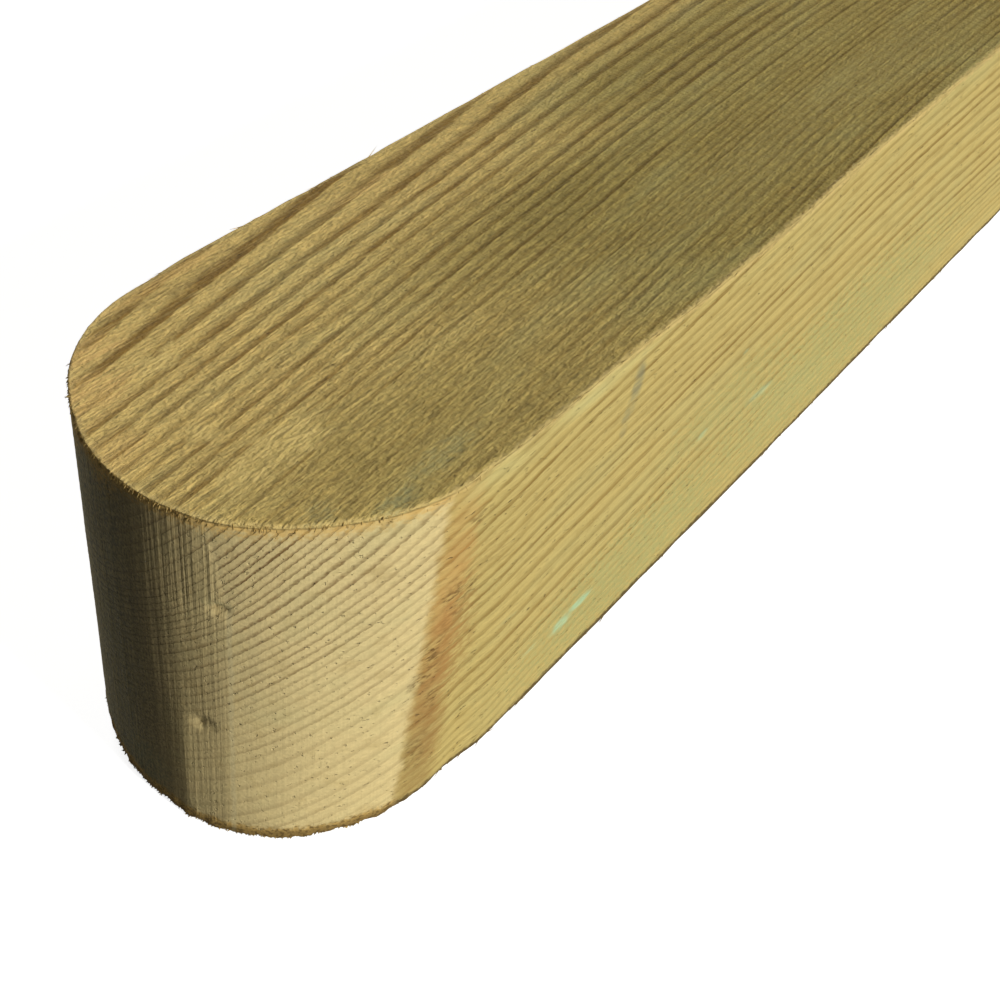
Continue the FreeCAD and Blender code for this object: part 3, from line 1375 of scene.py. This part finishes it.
@dataclass(frozen=True)
class LooseFibres:
    """Slivers and tufts that the saw tore up along the arrises and left hanging."""

    post: SawnPost
    stations: tuple[float, ...] = (0.0, 0.35, 0.7)  # where along a fibre it has a ring of vertices
    thickness: tuple[float, ...] = (1.0, 0.85, 0.5)
    seed: int = 7

    def build(self, material: bpy.types.Material) -> bpy.types.Object:
        """Make the fibres.

        Args:
            material: Their finish.

        Returns:
            All fibres as one mesh.
        """
        chance = np.random.default_rng(self.seed)
        points, faces = [], []
        for arris in Arris:
            roots, out = self.roots(arris, chance)
            paths, widths = self.paths(arris, roots, out, chance)
            for path, width in zip(paths, widths):
                self.sliver(path, width, points, faces)
        mesh = bpy.data.meshes.new("arris_fibres")
        mesh.from_pydata(self.post.size.to_scene(np.array(points)).tolist(), [], faces)
        mesh.polygons.foreach_set("use_smooth", np.ones(len(faces), bool))
        mesh.materials.append(material)
        piece = bpy.data.objects.new("arris_fibres", mesh)
        bpy.context.collection.objects.link(piece)
        return piece

    def roots(self, arris: Arris, chance: np.random.Generator) -> tuple[np.ndarray, np.ndarray]:
        """Choose where the fibres of an arris are rooted.

        Args:
            arris: The arris.
            chance: Source of the choice.

        Returns:
            Places on the worn post and the way out of it at each.
        """
        size = self.post.size
        count = arris.value[0]
        up = size.height if arris in (Arris.HEAD_TOP, Arris.LONG_TOP) else 0.0
        inset = np.abs(chance.normal(0, 0.5, count))
        if arris in (Arris.HEAD_TOP, Arris.HEAD_UNDERSIDE):
            # twice as dense round the crown, where the fibres are cut across
            angle = np.pi * (0.5 + np.clip(chance.normal(0, 0.24, count), -0.5, 0.5))
            reach = size.radius - inset
            plan = np.stack([-np.sin(angle) * reach, -np.cos(angle) * reach], axis=1)
        else:
            along = size.foot * chance.power(0.6, count)
            side = chance.choice([-1.0, 1.0], count, p=[0.6, 0.4])
            plan = np.stack([along, side * (size.radius - inset)], axis=1)
        flat = self.flatten(plan, np.full(count, up))
        points, normals, _ = self.post.surface(flat)
        return points, normals

    def flatten(self, plan: np.ndarray, up: np.ndarray) -> np.ndarray:
        """Find the places on the square-headed box that bend round to places in the plan.

        Args:
            plan: Places in the plan.
            up: Their heights.

        Returns:
            Places on the box.
        """
        radius = self.post.size.radius
        x = np.minimum(plan[:, 0], 0) / radius
        y = plan[:, 1] / radius
        wide = 2 + y * y - x * x
        tall = 2 + x * x - y * y
        u = np.sqrt(np.maximum(wide + 2 * math.sqrt(2) * y, 0)) / 2
        u -= np.sqrt(np.maximum(wide - 2 * math.sqrt(2) * y, 0)) / 2
        v = np.sqrt(np.maximum(tall + 2 * math.sqrt(2) * x, 0)) / 2
        v -= np.sqrt(np.maximum(tall - 2 * math.sqrt(2) * x, 0)) / 2
        along = np.where(plan[:, 0] < 0, v * radius, plan[:, 0])
        across = np.where(plan[:, 0] < 0, u * radius, plan[:, 1])
        return np.stack([along, np.clip(across, -radius, radius), up], axis=1)

    def paths(
        self, arris: Arris, roots: np.ndarray, out: np.ndarray, chance: np.random.Generator
    ) -> tuple[np.ndarray, np.ndarray]:
        """Lead each fibre from its root.

        Args:
            arris: The arris.
            roots: Where the fibres start.
            out: The way out of the post there.
            chance: Source of their unevenness.

        Returns:
            Four points for each fibre and the thickness of each.
        """
        count, longest, thickest = arris.value
        length = longest * (0.25 + 0.75 * chance.power(0.7, count)[:, None] ** 2)
        plan_out = out * [1, 1, 0]
        if arris in (Arris.HEAD_TOP, Arris.HEAD_UNDERSIDE):
            droop = -0.7 if arris is Arris.HEAD_TOP else -0.1
            lead = plan_out * 0.6 + [-0.35, 0.0, droop]
            lead = lead + chance.normal(0, 0.35, (count, 3))
            curl = np.array([0.0, 0.0, -0.35]) * length
        else:
            way = chance.choice([-1.0, 1.0], (count, 1))
            lead = np.array([1.0, 0.0, 0.0]) * way + plan_out * 0.14
            lead = lead + chance.normal(0, 0.07, (count, 3))
            curl = plan_out * 0.08 * length
        lead = lead / np.linalg.norm(lead, axis=1, keepdims=True)
        start = roots - out * 0.15
        at = np.array([*self.stations, 1.0])[None, :, None]
        paths = start[:, None] + lead[:, None] * length[:, None] * at + curl[:, None] * at**2
        paths[..., 2] = np.maximum(paths[..., 2], thickest / 2)  # no fibre sinks into the floor
        return paths, thickest * chance.uniform(0.5, 1.0, count)

    def sliver(self, path: np.ndarray, width: float, points: list, faces: list) -> None:
        """Add one tapered, three-sided fibre.

        Args:
            path: Its points from root to tip.
            width: Its thickness at the root.
            points: Vertices so far, added to.
            faces: Faces so far, added to.
        """
        lead = path[-1] - path[0]
        aside = np.cross(lead, [0.31, 0.17, 0.93])
        aside /= np.linalg.norm(aside) + 1e-9
        above = np.cross(lead, aside)
        above /= np.linalg.norm(above) + 1e-9
        first = len(points)
        for centre, share in zip(path[:-1], self.thickness):
            for corner in range(3):
                turn = math.tau * corner / 3
                spoke = aside * math.cos(turn) + above * math.sin(turn)
                points.append(centre + spoke * width * share / 2)
        points.append(path[-1])
        tip = len(points) - 1
        rows = len(self.thickness)
        faces.append([first + 2, first + 1, first])
        for row, corner in itertools.product(range(rows), range(3)):
            here = first + 3 * row + corner
            after = first + 3 * row + (corner + 1) % 3
            if row + 1 < rows:
                faces.append([here, after, after + 3, here + 3])
            else:
                faces.append([here, after, tip])


@dataclass(frozen=True)
class DryFibre:
    """Torn softwood fibres: paler than the sawn face, as no saw has pressed dirt into them."""

    pale: str = "#D2B26A"
    dark: str = "#8E7440"
    roughness: float = 0.9
    gloss: float = 0.15  # rough fibres throw little back, even at a low angle

    def build(self) -> bpy.types.Material:
        """Make the material.

        Returns:
            The finished material.
        """
        material = bpy.data.materials.new("softwood_fibre_torn")
        material.use_nodes = True
        tree = material.node_tree
        tree.nodes.clear()
        add = partial(add_node, tree)
        metres = add("TexCoord", out="Object")
        place = add("VectorMath", (metres, (1 / (1.5 * MM),) * 3), operation="MULTIPLY")
        noise = add("TexNoise", {"Vector": place, "Scale": 1.0, "Detail": 2.0})
        share = add("MapRange", (noise, 0.35, 0.65, 0.0, 1.0))
        colour = add(
            "Mix", {SHARE: share, UNDER: linear(self.dark), OVER: linear(self.pale)}, **COLOURS
        )
        bump = add("Bump", {"Distance": 0.2 * MM, "Height": noise})
        shader = add(
            "BsdfPrincipled",
            {
                "Base Color": colour,
                "Roughness": self.roughness,
                "Specular IOR Level": self.gloss,
                "Normal": bump,
            },
        )
        add("OutputMaterial", (shader,))
        return material


# ------------------------------------------------------------------------------ the studio
@dataclass(frozen=True)
class Lamp:
    """A soft lamp, so far off that its light comes from one direction."""

    name: str
    towards: tuple[float, float, float]  # from the post to the lamp
    strength: float
    softness: float  # degrees that the lamp spans, seen from the post

    def build(self) -> None:
        """Hang the lamp."""
        light = bpy.data.lights.new(self.name, "SUN")
        light.energy = self.strength
        light.angle = math.radians(self.softness)
        lamp = bpy.data.objects.new(self.name, light)
        lamp.rotation_euler = Vector(self.towards).to_track_quat("Z", "Y").to_euler()
        bpy.context.collection.objects.link(lamp)


@dataclass(frozen=True)
class Studio:
    """A pale floor in a white room, with one soft key from the post's near side."""

    floor_reach: float = 6000.0
    floor_colour: str = "#D9D9D6"
    floor_shade: str = "#4C4C4A"  # how little of the lamps' light it throws back at the post
    floor_glow: float = 0.86  # what the camera sees besides the floor's own lit surface
    fill: float = 0.048
    lamps: tuple[Lamp, ...] = (
        Lamp("key", (-0.02, -1.0, 0.5), 3.2, 12.0),
        Lamp("back", (0.5, 0.85, 0.32), 1.5, 20.0),
    )

    def build(self) -> None:
        """Put up the floor, the lamps and the room's light."""
        reach = self.floor_reach * MM
        corners = [(-reach, -reach, 0), (reach, -reach, 0), (reach, reach, 0), (-reach, reach, 0)]
        mesh = bpy.data.meshes.new("studio_floor")
        mesh.from_pydata(corners, [], [(0, 1, 2, 3)])
        mesh.materials.append(self.floor_material())
        floor = bpy.data.objects.new("studio_floor", mesh)
        bpy.context.collection.objects.link(floor)
        for lamp in self.lamps:
            lamp.build()
        self.light_room()

    def seen(self, add: Adder) -> Socket:
        """Tell what a camera, a mirror or glass sees from what lights the post."""
        paths = add("LightPath")
        outputs = paths.node.outputs
        shown = add("Math", (outputs["Is Camera Ray"], outputs["Is Glossy Ray"]), operation="MAXIMUM")
        return add("Math", (shown, outputs["Is Transmission Ray"]), operation="MAXIMUM")

    def floor_material(self) -> bpy.types.Material:
        """Make painted board, pale and matt, that looks white but keeps a shadow."""
        material = bpy.data.materials.new("board_painted_matt")
        material.use_nodes = True
        tree = material.node_tree
        tree.nodes.clear()
        add = partial(add_node, tree)
        board = add("BsdfDiffuse", {"Color": linear(self.floor_colour)})
        shade = add("BsdfDiffuse", {"Color": linear(self.floor_shade)})
        glow = add("Emission", {"Color": (1, 1, 1, 1), "Strength": self.floor_glow})
        lit = add("AddShader", (board, glow))
        add("OutputMaterial", (add("MixShader", (self.seen(add), shade, lit)),))
        return material

    def light_room(self) -> None:
        """Fill the room with even light, which a camera sees as white."""
        world = bpy.data.worlds.new("white_room")
        world.use_nodes = True
        tree = world.node_tree
        tree.nodes.clear()
        add = partial(add_node, tree)
        strength = add("MapRange", (self.seen(add), 0.0, 1.0, self.fill, 1.0))
        add("OutputWorld", (add("Background", ((1, 1, 1, 1), strength)),))
        bpy.context.scene.world = world


@dataclass(frozen=True)
class Viewpoint:
    """Where the camera stands, in the post's frame, and how it is turned, in degrees."""

    size: PostSize
    eye: tuple[float, float, float] = (-197.7, -171.9, 303.1)
    heading: float = 30.8
    pitch: float = -41.98
    roll: float = 7.6
    lens: float = 54.04
    sensor: float = 36.0

    def build(self) -> None:
        """Set the camera up."""
        heading, pitch, roll = map(math.radians, (self.heading, self.pitch, self.roll))
        ahead = Vector(
            (
                math.cos(pitch) * math.cos(heading),
                math.cos(pitch) * math.sin(heading),
                math.sin(pitch),
            )
        )
        right = Vector((math.sin(heading), -math.cos(heading), 0))
        up = right.cross(ahead)
        turned_right = right * math.cos(roll) + up * math.sin(roll)
        turned_up = up * math.cos(roll) - right * math.sin(roll)
        data = bpy.data.cameras.new("camera")
        data.lens = self.lens
        data.sensor_width = self.sensor
        data.clip_start = 0.01
        camera = bpy.data.objects.new("camera", data)
        axes = Matrix((turned_right, turned_up, -ahead)).transposed().to_4x4()
        eye = self.size.to_scene(np.array(self.eye))
        camera.matrix_world = Matrix.Translation(Vector(eye)) @ axes
        bpy.context.collection.objects.link(camera)
        bpy.context.scene.camera = camera


def main() -> None:
    """Build the post, its fibres and the studio, and report each piece."""
    logging.basicConfig(level=logging.INFO, format="%(name)s: %(message)s")
    size = PostSize.from_frame()
    rings = GrowthRings()
    cut = HeadCut()
    sawn = SawnPost(size, rings, cut)
    post = sawn.build(TreatedSoftwood(rings, cut, size).build())
    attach(post, BODY)
    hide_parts(NODE)
    fibres = LooseFibres(sawn).build(DryFibre().build())
    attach(fibres, BODY)
    for piece in (post, fibres):
        LOG.info("%s: %d faces", piece.name, len(piece.data.polygons))
    Studio().build()
    Viewpoint(size).build()
    scene = bpy.context.scene
    scene.view_settings.view_transform = "Standard"


if __name__ == "__main__":
    main()
